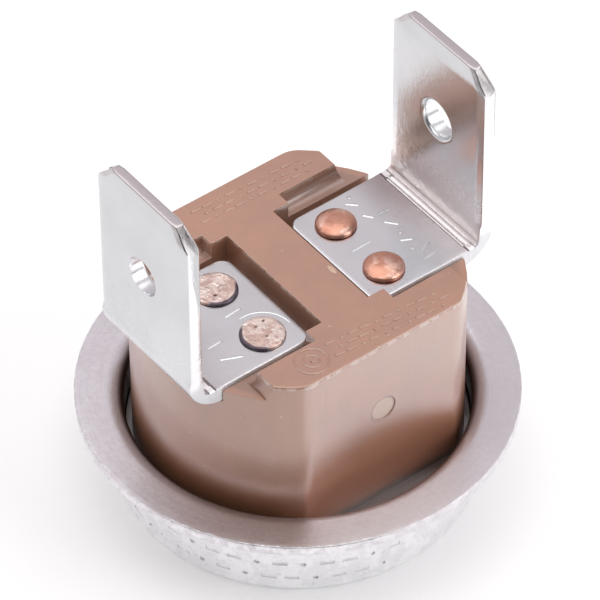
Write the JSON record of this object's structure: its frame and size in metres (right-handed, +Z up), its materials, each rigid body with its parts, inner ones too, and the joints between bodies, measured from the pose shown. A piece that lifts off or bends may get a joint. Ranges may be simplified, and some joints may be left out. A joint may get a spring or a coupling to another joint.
{
  "type": "boiler thermostat",
  "caption": "Snap disc temperature switch: moulded base in a flanged aluminium cup, with upright push-on tabs riveted into its stepped pockets.",
  "frame": {"origin": "middle of the cup's flat underside, the sensing face", "axes": "+Z up along the cup's axis to the tabs' tips, +X to the tab with the copper domes, -Y to the flat that carries the round moulding mark"},
  "size_m": [0.0198, 0.0198, 0.0208],
  "materials": {
    "cup_aluminium": "drawn, brushed round the flange",
    "disc_bimetal": "plain rolled strip",
    "guide_moulding": "moulded phenolic",
    "pin_ceramic": "unglazed",
    "base_moulding": "satin moulded phenolic, brown",
    "tab_plating": "nickel plated brass sheet, satin",
    "rivet_copper": "bright copper",
    "rivet_staked": "staked copper alloy with worn plating",
    "strip_brass": "rolled strip",
    "arm_alloy": "rolled copper spring alloy",
    "contact_silver": "silver"
  },
  "bodies": {
    "switch": {"sensing_cup": "cup_aluminium", "bimetal_disc": "disc_bimetal", "pin_guide": "guide_moulding", "switch_base": "base_moulding", "left_terminal": "tab_plating", "right_terminal": "tab_plating", "right_rivet_front": "rivet_copper", "right_rivet_rear": "rivet_copper", "left_rivet_front": "rivet_staked", "left_rivet_rear": "rivet_staked", "arm_bracket": "strip_brass", "fixed_contact_strip": "strip_brass", "fixed_contact": "contact_silver"},
    "arm": {"contact_arm": "arm_alloy", "moving_contact": "contact_silver"},
    "pin": {"transfer_pin": "pin_ceramic"}
  },
  "joints": [
    {"name": "arm_lift", "type": "hinge", "parent": "switch", "child": "arm", "pos_m": [-0.0024, 0, 0.0052], "axis": [0, -1, 0], "range_deg": [0, 8.3], "stiffness_Nm_per_rad": 0.0002, "springref_deg": -5.73},
    {"name": "pin_travel", "type": "slide", "parent": "switch", "child": "pin", "axis": [0, 0, 1], "range_m": [0, 0.000345], "deforming": ["bimetal_disc"]}
  ],
  "couplings": [
    {"joint": "arm_lift", "follows": "pin_travel", "rad_per_m": 416.67}
  ]
}
